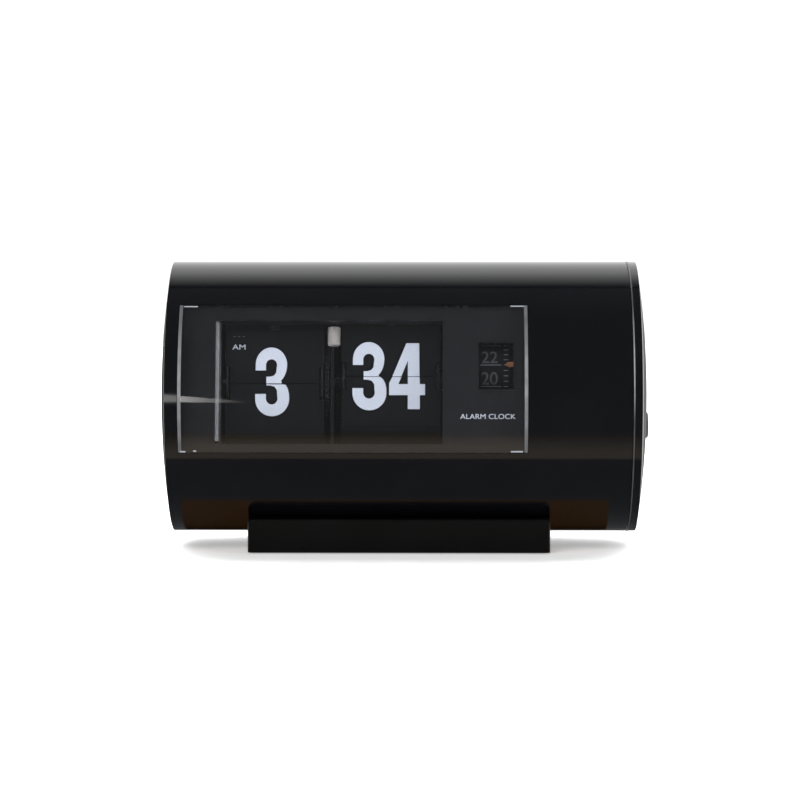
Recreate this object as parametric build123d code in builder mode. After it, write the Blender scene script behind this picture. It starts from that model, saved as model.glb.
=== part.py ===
"""Flip number clock with an alarm: a lying cylinder on a block foot.

Millimetres, +Z up. X runs along the cylinder to the viewer's right and the display faces -Y.
The origin is the middle of the underside, where the clock rests.

The case is a can that is closed at its left end, with a domed cap on its right end. The movement
inside it is tilted back by TILT about the case's axis, so every movement part is drawn in the
movement's own coordinates: (y, z) across, with y to the back and z up, and x along the case.
"""

import os
from math import acos, asin, atan2, cos, degrees, hypot, radians, sin, sqrt

from build123d import *

# ---------------------------------------------------------------- driving dimensions
CASE_R = 46.5            # outer radius of the case
WALL = 2.2
BORE_R = CASE_R - WALL
CASE_HALF = 77.6         # the can runs from -CASE_HALF to CASE_HALF
DOME = 3.8               # how far each end bulges
CAP_SEAM = 0.2
CAP_RIM_X = 80.9         # where the right cap's rim ends and its dome starts
AXIS_Z = 51.5            # height of the case's axis
TILT = 12.0              # degrees that the display leans back

WINDOW_X = (-73.3, 43.1)
WINDOW_HALF = 25.0       # half height of the opening, across the movement
WINDOW_T = 2.0
MASK_FRONT, MASK_T = 36.6, 1.5
APERTURE_X, APERTURE_Z = (-61.5, 14.7), (-21.6, 20.1)
ALARM_APERTURE_X, ALARM_APERTURE_Z = (26.8, 38.4), (-3.1, 12.7)

FOOT_HALF_X, FOOT_HALF_Y, FOOT_LOW, FOOT_TOP = 51.1, 30.0, 0.4, 11.8
PAD_T = 1.2
FOOT_SCREW_X = 36.0

DRUM_Y, DRUM_Z = -15.2, 2.87     # the axle that both drums turn on
PIN_R = 11.0                     # circle of the leaf pins
FLANGE_R, FLANGE_T = 11.45, 0.8
LEAF_W, LEAF_L = 33.4, 16.6      # a leaf's width, and its reach from its pin
ROOT_STEP, ROOT_REACH = 1.7, 4.2  # the leaf is narrower beside the drum's flanges
LEAF_PIN_R, LEAF_PIN_L, PIN_HOLE_R = 0.22, 0.5, 0.28
FLANGE_OUT = 0.3                 # a flange's outer face, inside the leaf's edge
AXLE_R, RUN = 1.25, 0.05         # shaft radius and running clearance

MINUTE_X, MINUTE_LEAVES, MINUTE_T, MINUTE_TAIL = -2.7, 60, 0.10, 0.40
HOUR_X, HOUR_LEAVES, HOUR_T, HOUR_TAIL = -41.9, 24, 0.15, 1.25
MINUTE_FIRST, MINUTE_FORWARD = 3.0, 2.5   # the held leaf's pin angle, and its forward lean
HOUR_FIRST, HOUR_FORWARD = -5.5, 3.5

ROD_R = 1.5
RODS = [(-22.0, 30.0), (10.0, 30.0), (-22.0, -28.0), (10.0, -28.0)]
ROD_LEFT, ROD_RIGHT = -68.0, 43.0
LEFT_PLATE, CENTRE_PLATE, RIGHT_PLATE = (-61.4, -60.2), (-23.1, -21.9), (15.4, 16.6)
BRIDGE, ALARM_PLATE = (22.0, 23.2), (40.0, 41.2)

BATTERY_R, BATTERY_Y, BATTERY_Z = 13.0, 24.7, -16.1   # across the upright case, from its axis
BATTERY_X = (-41.5, 7.0)
DOOR_ANGLE, DOOR_HALF = -33.0, 13.8
DOOR_X = (-50.0, 16.0)
SWITCH_X, SWITCH_ANGLE = 58.0, 14.0
BUTTON_X, BUTTON_ANGLE = 58.0, 40.0
CAP_SCREW_R, CAP_SCREW_ANGLES = 40.2, (90, 270, 340)

# gears: module, teeth
FINE, MIDDLE = 0.45, 0.5
HOUR_MODULE = FINE * (12 + 48) / (10 + 60)
TIME_TEETH, MINUTE_TEETH = 44, 60
ALARM_TEETH, ALARM_IDLER_TEETH, ALARM_SET_TEETH = 52, 44, 50
ALARM_Y, ALARM_Z, ALARM_R = -19.5, 5.0, 13.9
ALARM_SET = (23.7, -5.6)
KNOB_R, KNOB_BASE, KNOB_TIP = 4.5, 83.2, 86.2

os.makedirs("parts", exist_ok=True)


# ---------------------------------------------------------------- planes and shared shapes
def case_section(x):
    """A plane across the upright case at x: sketch (y to the back, z up) from its axis."""
    return Plane(origin=(x, 0, AXIS_Z), x_dir=(0, 1, 0), z_dir=(1, 0, 0))


def section(x):
    """The same across the movement, which leans back."""
    lean = radians(TILT)
    return Plane(origin=(x, 0, AXIS_Z), x_dir=(0, cos(lean), -sin(lean)), z_dir=(1, 0, 0))


def front(depth):
    """A plane that faces the display's way, depth in front of the case's axis."""
    lean = radians(TILT)
    out = (0, -cos(lean), sin(lean))
    return Plane(origin=(0, depth * out[1], AXIS_Z + depth * out[2]), x_dir=(1, 0, 0), z_dir=out)


def rear(x, angle, radius):
    """A plane that faces out of the back of the case, angle degrees above the horizontal."""
    out = (0, cos(radians(angle)), sin(radians(angle)))
    origin = (x, radius * out[1], AXIS_Z + radius * out[2])
    return Plane(origin=origin, x_dir=(-1, 0, 0), z_dir=out)


def write(shape, name):
    shape.label = name
    export_step(shape, f"parts/{name}.step")


def round_bar(plane, centre, radius, length, mode=Mode.ADD):
    with BuildSketch(plane) as profile:
        with Locations(centre):
            Circle(radius)
    extrude(profile.sketch, amount=length, mode=mode)


def disc(centre, radius, x0, x1, mode=Mode.ADD):
    """A round bar along X from x0 to x1, at (y, z) in the movement's coordinates."""
    round_bar(section(x0), centre, radius, x1 - x0, mode)


def case_disc(centre, radius, x0, x1, mode=Mode.ADD):
    """A round bar along X from x0 to x1, at (y, z) across the upright case."""
    round_bar(case_section(x0), centre, radius, x1 - x0, mode)


def slab(plane, centre, width, height, depth, mode=Mode.ADD, corner=0.0):
    with BuildSketch(plane) as profile:
        with Locations(centre):
            if corner > 0:
                RectangleRounded(width, height, corner)
            else:
                Rectangle(width, height)
    extrude(profile.sketch, amount=depth, mode=mode)


def block(x, y, z, mode=Mode.ADD):
    """A block over the ranges x, y and z of the movement's coordinates."""
    centre = ((y[0] + y[1]) / 2, (z[0] + z[1]) / 2)
    slab(section(x[0]), centre, y[1] - y[0], z[1] - z[0], x[1] - x[0], mode)


def polar(radius, angle):
    return radius * cos(radians(angle)), radius * sin(radians(angle))


def around(centre, distance, angle):
    step = polar(distance, angle)
    return centre[0] + step[0], centre[1] + step[1]


def direction(a, b):
    return degrees(atan2(b[1] - a[1], b[0] - a[0]))


# ---------------------------------------------------------------- gear layout
DRUM = (DRUM_Y, DRUM_Z)
ALARM = (ALARM_Y, ALARM_Z)
HOUR_IDLER = around(DRUM, FINE * 30, -20)
TIME_SET = around(DRUM, MIDDLE * (MINUTE_TEETH + TIME_TEETH) / 2, -26.9)
REDUCTION = around(DRUM, MIDDLE * 36, 60)
MOTOR = around(REDUCTION, MIDDLE * 30, 0)


def alarm_idler_centre():
    """Where the two centre distances from the alarm drum and the alarm-set shaft meet."""
    near = MIDDLE * (ALARM_TEETH + ALARM_IDLER_TEETH) / 2
    far = MIDDLE * (ALARM_SET_TEETH + ALARM_IDLER_TEETH) / 2
    span = hypot(ALARM_SET[0] - ALARM[0], ALARM_SET[1] - ALARM[1])
    turn = acos((near**2 + span**2 - far**2) / (2 * near * span))
    return around(ALARM, near, direction(ALARM, ALARM_SET) + degrees(turn))


ALARM_IDLER = alarm_idler_centre()


def teeth_outline(teeth, module, phase):
    """A wheel's outline, with one tooth's middle at the angle phase."""
    pitch = 360 / teeth
    radius = module * teeth / 2
    points = []
    for tooth in range(teeth):
        middle = phase + tooth * pitch
        points.append(polar(radius - 1.15 * module, middle - 0.23 * pitch))
        points.append(polar(radius, middle - 0.20 * pitch))
        points.append(polar(radius + 0.75 * module, middle - 0.10 * pitch))
        points.append(polar(radius + 0.75 * module, middle + 0.10 * pitch))
        points.append(polar(radius, middle + 0.20 * pitch))
        points.append(polar(radius - 1.15 * module, middle + 0.23 * pitch))
    return points


def gear(centre, teeth, module, phase, x0, x1):
    with BuildSketch(section(x0)) as profile:
        with Locations(centre):
            Polygon(*teeth_outline(teeth, module, phase), align=None)
    extrude(profile.sketch, amount=x1 - x0)


def mate_phase(phase, teeth, angle, mate_teeth):
    """Phase of the wheel that meshes, in the direction angle, with a wheel of that phase."""
    pitch = 360 / teeth
    offset = (angle - phase) % pitch
    return angle + 180 - (pitch / 2 - offset) * teeth / mate_teeth


MINUTE_PHASE = direction(DRUM, TIME_SET)
TIME_PHASE = mate_phase(MINUTE_PHASE, MINUTE_TEETH, direction(DRUM, TIME_SET), TIME_TEETH)
REDUCTION_PHASE = mate_phase(MINUTE_PHASE, MINUTE_TEETH, direction(DRUM, REDUCTION), 12)
MOTOR_PHASE = mate_phase(0, 48, direction(REDUCTION, MOTOR), 12)
IDLER_ANGLE = direction(DRUM, HOUR_IDLER)
IDLER_WHEEL_PHASE = mate_phase(IDLER_ANGLE, 12, IDLER_ANGLE, 48)
IDLER_PINION_PHASE = direction(HOUR_IDLER, DRUM)
HOUR_PHASE = mate_phase(IDLER_PINION_PHASE, 10, IDLER_PINION_PHASE, 60)
ALARM_PHASE = direction(ALARM, ALARM_IDLER)
ALARM_IDLER_PHASE = mate_phase(ALARM_PHASE, ALARM_TEETH, ALARM_PHASE, ALARM_IDLER_TEETH)
ALARM_SET_PHASE = mate_phase(
    ALARM_IDLER_PHASE, ALARM_IDLER_TEETH, direction(ALARM_IDLER, ALARM_SET), ALARM_SET_TEETH
)

# ---------------------------------------------------------------- case
AXIS_PLANE = Plane(origin=(0, 0, AXIS_Z), x_dir=(1, 0, 0), z_dir=(0, -1, 0))
CASE_AXIS = Axis((0, 0, AXIS_Z), (1, 0, 0))
DOME_T = 2.0


def dome_middle(tip_x, rim):
    """Half way along the arc from a tip on the case's axis to rim, centred on that axis."""
    drop = tip_x - rim[0]
    radius = (rim[1] ** 2 + drop**2) / (2 * drop)
    turn = asin(rim[1] / radius) / 2
    return tip_x - radius * (1 - cos(turn)), radius * sin(turn)


def domed_end(rim_x, side, tail):
    """A domed end turned about the case's axis; side is -1 at the left end, 1 at the right.

    tail lists the corners of its rim, from the inner edge of the dome round to its outer edge.
    """
    tip = rim_x + side * DOME
    inner_tip = tip - side * DOME_T
    with BuildSketch(AXIS_PLANE) as half:
        with BuildLine():
            outer = ThreePointArc((rim_x, CASE_R), dome_middle(tip, (rim_x, CASE_R)), (tip, 0))
            Line(outer @ 1, (inner_tip, 0))
            ThreePointArc((inner_tip, 0), dome_middle(inner_tip, tail[0]), tail[0])
            Polyline(*tail, outer @ 0)
        make_face()
    revolve(half.sketch, axis=CASE_AXIS)


def ring(x0, x1, outer, inner, mode=Mode.ADD):
    with BuildSketch(case_section(x0)) as profile:
        Circle(outer)
        Circle(inner, mode=Mode.SUBTRACT)
    extrude(profile.sketch, amount=x1 - x0, mode=mode)


def boss_on_wall(centre, radius, limit, x0, x1):
    """A boss that runs into a round wall but no further out than limit."""
    with BuildSketch(case_section(x0)) as profile:
        with Locations(centre):
            Circle(radius)
        Circle(limit, mode=Mode.INTERSECT)
    extrude(profile.sketch, amount=x1 - x0)


BUZZER_X, BUZZER_ANGLE, BUZZER_R = -16.0, 26.0, 12.0

with BuildPart() as tube_shell:
    ring(-CASE_HALF, CASE_HALF, CASE_R, BORE_R)
    domed_end(-CASE_HALF, -1, [(2.0 - CASE_HALF, BORE_R - 0.5), (2.0 - CASE_HALF, CASE_R)])
    for angle in CAP_SCREW_ANGLES:
        boss_on_wall(polar(CAP_SCREW_R, angle), 4.2, BORE_R + 0.6, 58.0, 73.4)
        case_disc(polar(CAP_SCREW_R, angle), 1.25, 61.0, 74.0, Mode.SUBTRACT)
    # sockets that seat the movement's rods at the closed end
    for rod in RODS:
        disc(rod, 3.4, -CASE_HALF - 0.6, -62.5)
        disc(rod, ROD_R + RUN, -68.1, -62.0, Mode.SUBTRACT)
    # collar that holds the buzzer
    with BuildSketch(rear(BUZZER_X, BUZZER_ANGLE, 37.5)) as collar:
        Circle(BUZZER_R + 1.4)
        Circle(BUZZER_R + 0.1, mode=Mode.SUBTRACT)
    extrude(collar.sketch, amount=5.0)
    # the display's opening, cut straight back along the display's own direction
    slab(front(20), (sum(WINDOW_X) / 2, 0), WINDOW_X[1] - WINDOW_X[0], 2 * WINDOW_HALF, 40,
         Mode.SUBTRACT)
    # battery opening, sound slots, switch slot and button hole in the back
    slab(rear(sum(DOOR_X) / 2, DOOR_ANGLE, 34), (0, 0), DOOR_X[1] - DOOR_X[0], 2 * DOOR_HALF, 30,
         Mode.SUBTRACT)
    with BuildSketch(rear(BUZZER_X, BUZZER_ANGLE, 43)) as slots:
        with GridLocations(3.2, 0, 6, 1):
            SlotOverall(14.0, 1.6, rotation=90)
    extrude(slots.sketch, amount=30, mode=Mode.SUBTRACT)
    slab(rear(SWITCH_X, SWITCH_ANGLE, 30), (0, 0), 10.4, 3.6, 30, Mode.SUBTRACT)
    round_bar(rear(BUTTON_X, BUTTON_ANGLE, 30), (0, 0), 4.25, 30, Mode.SUBTRACT)
    # bosses over the foot, for its screws
    for x in (-FOOT_SCREW_X, FOOT_SCREW_X):
        round_bar(Plane.XY.offset(AXIS_Z - BORE_R - 0.8), (x, 0), 4.0, 6.8)
        round_bar(Plane.XY, (x, 0), 1.25, AXIS_Z - BORE_R + 4.5, Mode.SUBTRACT)
write(tube_shell.part, "tube_shell")

with BuildPart() as right_end_cap:
    # the rim, and a skirt that fits inside the can
    lip = CASE_HALF + CAP_SEAM
    domed_end(CAP_RIM_X, 1, [
        (CAP_RIM_X - 1.6, 42.4), (73.6, 42.4), (73.6, BORE_R - 0.05), (lip, BORE_R - 0.05),
        (lip, CASE_R)
    ])
    # posts that hold the movement's rods in their sockets
    for rod in RODS:
        reach = DOME * (1 - (hypot(*rod) / CASE_R) ** 2) - DOME_T / 2
        disc(rod, 3.4, ROD_RIGHT + 0.05, CAP_RIM_X + reach)
    for angle in CAP_SCREW_ANGLES:
        boss_on_wall(polar(CAP_SCREW_R, angle), 4.0, 43.3, 73.6, 79.9)
        case_disc(polar(CAP_SCREW_R, angle), 1.6, 70.0, 90.0, Mode.SUBTRACT)
        case_disc(polar(CAP_SCREW_R, angle), 3.1, 79.6, 90.0, Mode.SUBTRACT)
    for shaft in (TIME_SET, ALARM_SET):
        disc(shaft, KNOB_R + 0.3, 78.0, 90.0, Mode.SUBTRACT)
write(right_end_cap.part, "right_end_cap")

with BuildPart() as cap_screws:
    for angle in CAP_SCREW_ANGLES:
        centre = polar(CAP_SCREW_R, angle)
        case_disc(centre, 1.2, 62.0, 80.0)
        case_disc(centre, 2.9, 79.65, 80.9)
        slab(case_section(80.3), centre, 4.4, 0.8, 1.0, Mode.SUBTRACT)
        slab(case_section(80.3), centre, 0.8, 4.4, 1.0, Mode.SUBTRACT)
write(cap_screws.part, "cap_screws")

WINDOW_GAP = 0.15
WINDOW_WALL = 1.2
WINDOW_MID = (WINDOW_X[0] + WINDOW_X[1]) / 2
WINDOW_SPAN = WINDOW_X[1] - WINDOW_X[0] - 2 * WINDOW_GAP
WINDOW_H = 2 * (WINDOW_HALF - WINDOW_GAP)

with BuildPart() as front_window:
    # curved front, two side walls that reach back to the mask, and four corner tabs
    ring(WINDOW_X[0], WINDOW_X[1], CASE_R, CASE_R - WINDOW_T)
    slab(front(MASK_FRONT + 0.05), (WINDOW_MID, 0), WINDOW_SPAN, WINDOW_H, 12, Mode.INTERSECT)
    with BuildSketch(front(MASK_FRONT + 0.05)) as walls:
        with Locations((WINDOW_MID, 0)):
            Rectangle(WINDOW_SPAN, WINDOW_H - 0.5)
            Rectangle(WINDOW_SPAN - 2 * WINDOW_WALL, WINDOW_H, mode=Mode.SUBTRACT)
        for x in (WINDOW_MID - WINDOW_SPAN / 2 + 2.6, WINDOW_MID + WINDOW_SPAN / 2 - 2.6):
            with Locations((x, WINDOW_H / 2 - 0.65), (x, 0.65 - WINDOW_H / 2)):
                Rectangle(5.2, 0.8)
    extrude(walls.sketch, amount=12)
    ring(WINDOW_X[0] - 1, WINDOW_X[1] + 1, CASE_R + 20, CASE_R, Mode.SUBTRACT)
write(front_window.part, "front_window")

MASK_BACK = MASK_FRONT - MASK_T
MASK_HALF = sqrt((BORE_R - 0.05) ** 2 - MASK_FRONT**2)
LEDGE_BACK = 29.0

with BuildPart() as face_mask:
    slab(front(MASK_BACK), (-14.9, 0), 119.2, 2 * MASK_HALF, MASK_T)
    # ledges that run back above and below the leaves, and the wall at their right
    for z in (APERTURE_Z[0] - 0.5, APERTURE_Z[1] + 0.5):
        slab(front(LEDGE_BACK), (-22.5, z), 74.6, 1.0, MASK_BACK - LEDGE_BACK)
    main = (sum(APERTURE_X) / 2, sum(APERTURE_Z) / 2)
    slab(front(MASK_BACK - 1), main, APERTURE_X[1] - APERTURE_X[0], APERTURE_Z[1] - APERTURE_Z[0],
         MASK_T + 2, Mode.SUBTRACT)
    # alarm opening with a raised frame and a raised strip beside it
    alarm = (sum(ALARM_APERTURE_X) / 2, sum(ALARM_APERTURE_Z) / 2)
    alarm_w = ALARM_APERTURE_X[1] - ALARM_APERTURE_X[0]
    alarm_h = ALARM_APERTURE_Z[1] - ALARM_APERTURE_Z[0]
    slab(front(MASK_FRONT), alarm, alarm_w + 1.0, alarm_h + 1.0, 0.25)
    slab(front(MASK_FRONT), (40.2, 5.4), 2.0, 15.5, 0.4)
    slab(front(MASK_BACK - 1), alarm, alarm_w, alarm_h, MASK_T + 3, Mode.SUBTRACT)
write(face_mask.part, "face_mask")

with BuildPart() as alarm_pointer:
    with BuildSketch(front(MASK_BACK - 0.75)) as arrow:
        with BuildLine():
            Polyline((35.6, 5.6), (36.6, 4.8), (40.6, 4.8), (40.6, 6.4), (36.6, 6.4), close=True)
        make_face()
    extrude(arrow.sketch, amount=0.7)
write(alarm_pointer.part, "alarm_pointer")

FOOT_HEIGHT = FOOT_TOP - FOOT_LOW
PAD_X, PAD_Y = 93.0, 52.0

with BuildPart() as foot:
    with BuildSketch(Plane.XY.offset(FOOT_LOW)) as plan:
        RectangleRounded(2 * FOOT_HALF_X, 2 * FOOT_HALF_Y, 2.0)
    extrude(plan.sketch, amount=FOOT_HEIGHT)
    fillet(foot.edges().group_by(Axis.Z)[-1], 0.8)
    case_disc((0, 0), CASE_R + 0.02, -60.0, 60.0, Mode.SUBTRACT)
    slab(Plane.XY.offset(FOOT_LOW), (0, 0), PAD_X + 0.2, PAD_Y + 0.2, PAD_T - FOOT_LOW,
         Mode.SUBTRACT, 2.1)
    for x in (-FOOT_SCREW_X, FOOT_SCREW_X):
        round_bar(Plane.XY, (x, 0), 3.2, 2.8, Mode.SUBTRACT)
        round_bar(Plane.XY, (x, 0), 1.6, 20, Mode.SUBTRACT)
write(foot.part, "foot")

with BuildPart() as foot_pad:
    slab(Plane.XY, (0, 0), PAD_X, PAD_Y, PAD_T, Mode.ADD, 2.0)
    for x in (-FOOT_SCREW_X, FOOT_SCREW_X):
        round_bar(Plane.XY, (x, 0), 3.4, PAD_T, Mode.SUBTRACT)
write(foot_pad.part, "foot_pad")

with BuildPart() as foot_screws:
    for x in (-FOOT_SCREW_X, FOOT_SCREW_X):
        round_bar(Plane.XY.offset(1.0), (x, 0), 2.9, 1.75)
        round_bar(Plane.XY.offset(2.6), (x, 0), 1.2, 8.4)
        slab(Plane.XY.offset(0.9), (x, 0), 4.4, 0.8, 0.9, Mode.SUBTRACT)
        slab(Plane.XY.offset(0.9), (x, 0), 0.8, 4.4, 0.9, Mode.SUBTRACT)
write(foot_screws.part, "foot_screws")

with BuildPart() as battery_door:
    ring(DOOR_X[0], DOOR_X[1], CASE_R, BORE_R)
    slab(rear(sum(DOOR_X) / 2, DOOR_ANGLE, 30), (0, 0), DOOR_X[1] - DOOR_X[0] - 0.5,
         2 * DOOR_HALF - 0.5, 30, Mode.INTERSECT)
    # finger grip
    with BuildSketch(rear(sum(DOOR_X) / 2, DOOR_ANGLE, CASE_R - 0.6)) as grip:
        with GridLocations(0, 2.4, 1, 3):
            SlotOverall(16.0, 1.2)
    extrude(grip.sketch, amount=4, mode=Mode.SUBTRACT)
write(battery_door.part, "battery_door")

# ---------------------------------------------------------------- power and sound
BATTERY = (BATTERY_Y, BATTERY_Z)
CRADLE_X = (-46.4, 11.6)

with BuildPart() as battery_cell:
    case_disc(BATTERY, BATTERY_R, BATTERY_X[0], BATTERY_X[1])
    fillet(battery_cell.edges(), 0.6)
    case_disc(BATTERY, 2.8, BATTERY_X[1] - 0.1, BATTERY_X[1] + 1.5)
write(battery_cell.part, "battery_cell")

with BuildPart() as battery_cradle:
    case_disc(BATTERY, 15.0, CRADLE_X[0], CRADLE_X[1])
    case_disc(BATTERY, 13.4, CRADLE_X[0] + 1.4, CRADLE_X[1] - 1.4, Mode.SUBTRACT)
    # open on the door's side
    with BuildSketch(rear(0, DOOR_ANGLE, 30.5)) as mouth:
        Rectangle(104.0, 2 * DOOR_HALF + 8)
    extrude(mouth.sketch, amount=30, mode=Mode.SUBTRACT)
write(battery_cradle.part, "battery_cradle")

with BuildPart() as battery_plus:
    slab(case_section(9.6), (BATTERY_Y - 3, BATTERY_Z + 2), 10.0, 8.0, 0.55)
    case_disc(BATTERY, 2.0, 8.55, 9.7)
write(battery_plus.part, "battery_plus")

SPRING_R = 5.0

with BuildPart() as battery_spring:
    start = (BATTERY_X[0] - 3.1, BATTERY_Y, BATTERY_Z + AXIS_Z)
    with BuildLine() as coil:
        Helix(1.1, 2.7, SPRING_R, center=start, direction=(1, 0, 0))
    with BuildSketch(Plane(origin=coil.line @ 0, z_dir=coil.line % 0)):
        Circle(0.3)
    sweep()
write(battery_spring.part, "battery_spring")

with BuildPart() as buzzer:
    round_bar(rear(BUZZER_X, BUZZER_ANGLE, 32.5), (0, 0), BUZZER_R, 9.6)
    round_bar(rear(BUZZER_X, BUZZER_ANGLE, 41.0), (0, 0), 2.0, 3.0, Mode.SUBTRACT)
write(buzzer.part, "buzzer")

# ---------------------------------------------------------------- movement frame
BATTERY_IN_MOVEMENT = (
    BATTERY_Y * cos(radians(TILT)) - BATTERY_Z * sin(radians(TILT)),
    BATTERY_Y * sin(radians(TILT)) + BATTERY_Z * cos(radians(TILT)),
)


def plate(x, extra, holes):
    """A frame plate over the rods and any extra centres; holes is a list of (centre, radius)."""
    with BuildSketch(section(x[0])) as outline:
        with Locations(*(RODS + extra)):
            Circle(3.2)
        make_hull()
        with Locations(*RODS):
            Circle(ROD_R + RUN, mode=Mode.SUBTRACT)
        for centre, radius in holes:
            with Locations(centre):
                Circle(radius, mode=Mode.SUBTRACT)
    extrude(outline.sketch, amount=x[1] - x[0])


FIT = AXLE_R + RUN

with BuildPart() as left_plate:
    plate(LEFT_PLATE, [], [(DRUM, FIT), ((8.0, 3.0), 9.0), ((-6.0, -18.0), 6.0)])
    # the plate reaches forward to the mask, and shows at the left of the leaves
    block(LEFT_PLATE, (0.02 - MASK_BACK, -25.0), (-20.4, 20.6))
write(left_plate.part, "left_plate")

with BuildPart() as centre_plate:
    plate(CENTRE_PLATE, [], [(DRUM, FIT), (HOUR_IDLER, 1.0 + RUN), (BATTERY_IN_MOVEMENT, 15.3)])
write(centre_plate.part, "centre_plate")

with BuildPart() as right_plate:
    plate(RIGHT_PLATE, [], [(DRUM, 3.4), (TIME_SET, FIT), (REDUCTION, 1.0 + RUN)])
    block(RIGHT_PLATE, (0.02 - MASK_BACK, -25.0), (-20.4, 20.6))
write(right_plate.part, "right_plate")

with BuildPart() as bridge_plate:
    plate(BRIDGE, [ALARM_SET],
          [(DRUM, FIT), (TIME_SET, FIT), (REDUCTION, 1.0 + RUN), (MOTOR, 3.2), (ALARM, FIT),
           (ALARM_SET, FIT), (ALARM_IDLER, FIT)])
write(bridge_plate.part, "bridge_plate")

with BuildPart() as alarm_plate:
    plate(ALARM_PLATE, [ALARM_SET],
          [(TIME_SET, FIT), (ALARM, FIT), (ALARM_SET, FIT), (ALARM_IDLER, FIT)])
write(alarm_plate.part, "alarm_plate")

with BuildPart() as frame_rods:
    for rod in RODS:
        disc(rod, ROD_R, ROD_LEFT, ROD_RIGHT)
write(frame_rods.part, "frame_rods")

with BuildPart() as rod_nuts:
    with BuildSketch(section(ALARM_PLATE[1] + 0.02)) as hexes:
        with Locations(*RODS):
            RegularPolygon(2.8, 6)
            Circle(ROD_R + 0.02, mode=Mode.SUBTRACT)
    extrude(hexes.sketch, amount=1.7)
write(rod_nuts.part, "rod_nuts")

SLEEVES = [
    (LEFT_PLATE[1] + 0.02, CENTRE_PLATE[0] - 0.02),
    (CENTRE_PLATE[1] + 0.02, RIGHT_PLATE[0] - 0.02),
    (RIGHT_PLATE[1] + 0.02, BRIDGE[0] - 0.02),
    (BRIDGE[1] + 0.02, ALARM_PLATE[0] - 0.02),
]

with BuildPart() as spacer_sleeves:
    for x0, x1 in SLEEVES:
        with BuildSketch(section(x0)) as tubes:
            with Locations(*RODS):
                Circle(2.3)
                Circle(ROD_R + 0.03, mode=Mode.SUBTRACT)
        extrude(tubes.sketch, amount=x1 - x0)
    # the front top sleeves give way to the two leaf retainers
    for middle in (MINUTE_X, HOUR_X):
        disc(RODS[0], 2.6, middle - 2.6, middle + 2.6, Mode.SUBTRACT)
write(spacer_sleeves.part, "spacer_sleeves")

with BuildPart() as main_axle:
    disc(DRUM, AXLE_R, LEFT_PLATE[0], BRIDGE[1])
write(main_axle.part, "main_axle")


# ---------------------------------------------------------------- drums and leaves
def drum(middle, hub_x):
    """A leaf drum: two flanges with a ring of pin holes, a barrel, and a hub over hub_x."""
    left, right = middle - LEAF_W / 2 + FLANGE_OUT, middle + LEAF_W / 2 - FLANGE_OUT
    for x0 in (left, right - FLANGE_T):
        disc(DRUM, FLANGE_R, x0, x0 + FLANGE_T)
    disc(DRUM, 6.0, left, right)
    disc(DRUM, 5.0, left, left + 6.0, Mode.SUBTRACT)
    disc(DRUM, 5.0, right - 6.0, right, Mode.SUBTRACT)
    disc(DRUM, 3.0, min(left, hub_x[0]), max(right, hub_x[1]))


def bore_drum(count, middle, x0, x1):
    """Bore the drum over its axle and drill its flanges for the leaves' pins."""
    disc(DRUM, FIT, x0, x1, Mode.SUBTRACT)
    start = middle - LEAF_W / 2
    with BuildSketch(section(start)) as pins:
        with Locations(DRUM):
            with PolarLocations(PIN_R, count, start_angle=180 - 360 / count / 2):
                Circle(PIN_HOLE_R)
    extrude(pins.sketch, amount=LEAF_W, mode=Mode.SUBTRACT)


with BuildPart() as minute_drum:
    drum(MINUTE_X, (-18.7, 17.3))
    gear(DRUM, MINUTE_TEETH, MIDDLE, MINUTE_PHASE, 17.2, 18.6)
    disc(DRUM, 2.15, -20.3, -18.5)
    gear(DRUM, 12, FINE, IDLER_ANGLE, -21.6, -20.2)
    bore_drum(60, MINUTE_X, -22, 19)
write(minute_drum.part, "minute_drum")

with BuildPart() as hour_drum:
    drum(HOUR_X, (-26.5, -24.8))
    gear(DRUM, 60, HOUR_MODULE, HOUR_PHASE, -24.9, -23.5)
    bore_drum(24, HOUR_X, -60, -23)
write(hour_drum.part, "hour_drum")


def leaf(thick, tail):
    """A leaf standing up from its pins, which lie on the X axis."""
    with BuildPart() as sheet:
        with BuildSketch(Plane.XZ) as outline:
            with Locations((0, (ROOT_REACH - tail) / 2)):
                Rectangle(LEAF_W - 2 * ROOT_STEP, ROOT_REACH + tail)
            with Locations((0, (ROOT_REACH + LEAF_L) / 2)):
                Rectangle(LEAF_W, LEAF_L - ROOT_REACH)
        extrude(outline.sketch, amount=thick / 2, both=True)
        edge = LEAF_W / 2 - ROOT_STEP
        with BuildSketch(Plane.YZ.offset(-edge - LEAF_PIN_L)) as pin:
            Circle(LEAF_PIN_R)
        extrude(pin.sketch, amount=LEAF_PIN_L)
        with BuildSketch(Plane.YZ.offset(edge)) as other_pin:
            Circle(LEAF_PIN_R)
        extrude(other_pin.sketch, amount=LEAF_PIN_L)
    return sheet.part


MOVEMENT = Location((0, 0, AXIS_Z), (-TILT, 0, 0))


def place_leaf(sheet, middle, angle, lean, upward=True):
    """Put a leaf on its pin, angle degrees from the drum's front; lean is towards the back."""
    pin_y = DRUM_Y - PIN_R * cos(radians(angle))
    pin_z = DRUM_Z + PIN_R * sin(radians(angle))
    turn = -lean if upward else 180 + lean
    return sheet.moved(MOVEMENT * Location((middle, pin_y, pin_z), (turn, 0, 0)))


def pack(sheet, middle, count, first, low_first, low_forward):
    """Every leaf but the held one: standing up in front, fanned out behind, hanging below."""
    leaves = []
    pitch = 360 / count
    for number in range(1, count):
        angle = first + number * pitch
        if angle < 180:
            start = first + pitch
            lean = (angle - start) * 90 / (180 - start)
            leaves.append(place_leaf(sheet, middle, angle, lean))
        else:
            below = 360 - angle
            lean = (below - low_first) * 90 / (180 - low_first)
            if number == count - 1:
                lean = -low_forward
            leaves.append(place_leaf(sheet, middle, angle, lean, upward=False))
    return Compound(leaves)


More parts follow.
